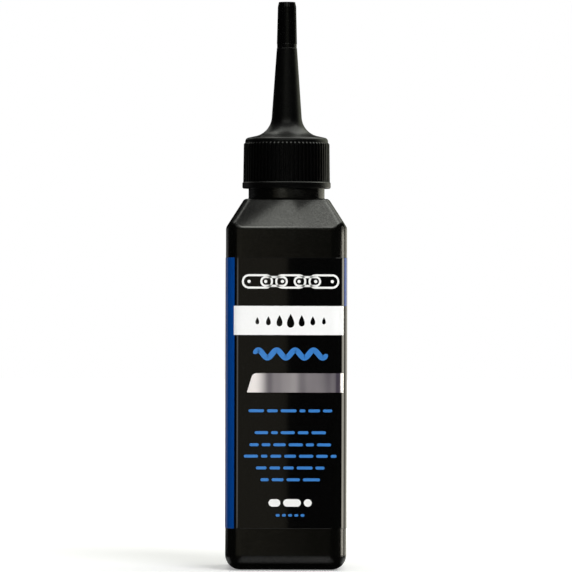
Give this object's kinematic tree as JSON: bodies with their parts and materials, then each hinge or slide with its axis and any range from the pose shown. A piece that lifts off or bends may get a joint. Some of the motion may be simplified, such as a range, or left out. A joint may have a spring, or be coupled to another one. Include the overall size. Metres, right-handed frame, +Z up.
{
  "type": "chain lube bottle",
  "caption": "Square squeeze bottle for chain lubricant, with a wrapped label, a ribbed screw cap with a tapered spout, and a small push-on tip cap.",
  "frame": {"origin": "centre of the base, on the surface that the bottle stands on", "axes": "+Z up along the neck and spout, -Y towards the front of the label, +X to the right of the front"},
  "size_m": [0.0374, 0.0374, 0.1751],
  "materials": {
    "bottle_plastic": "satin black blown polyethylene",
    "label_film": "glossy black printed film with blue, white and silver fields",
    "washer_foam": "white foamed polyethylene",
    "cap_plastic": "satin black moulded polypropylene",
    "tip_plastic": "satin black moulded polyethylene"
  },
  "bodies": {
    "bottle": {"bottle": "bottle_plastic", "wrap_label": "label_film"},
    "washer": {"sealing_washer": "washer_foam"},
    "spout": {"spout_cap": "cap_plastic"},
    "tip": {"tip_cap": "tip_plastic"}
  },
  "joints": [
    {"name": "cap_lift", "type": "slide", "parent": "bottle", "child": "washer", "axis": [0, 0, 1], "range_m": [0, 0.0048]},
    {"name": "cap_turn", "type": "hinge", "parent": "washer", "child": "spout", "pos_m": [0, 0, 0.1314], "axis": [0, 0, 1], "range_deg": [0, 540]},
    {"name": "tip_pull", "type": "slide", "parent": "spout", "child": "tip", "axis": [0, 0, 1], "range_m": [0, 0.014]}
  ],
  "couplings": [
    {"joint": "cap_lift", "follows": "cap_turn", "m_per_rad": 0.00050532}
  ]
}
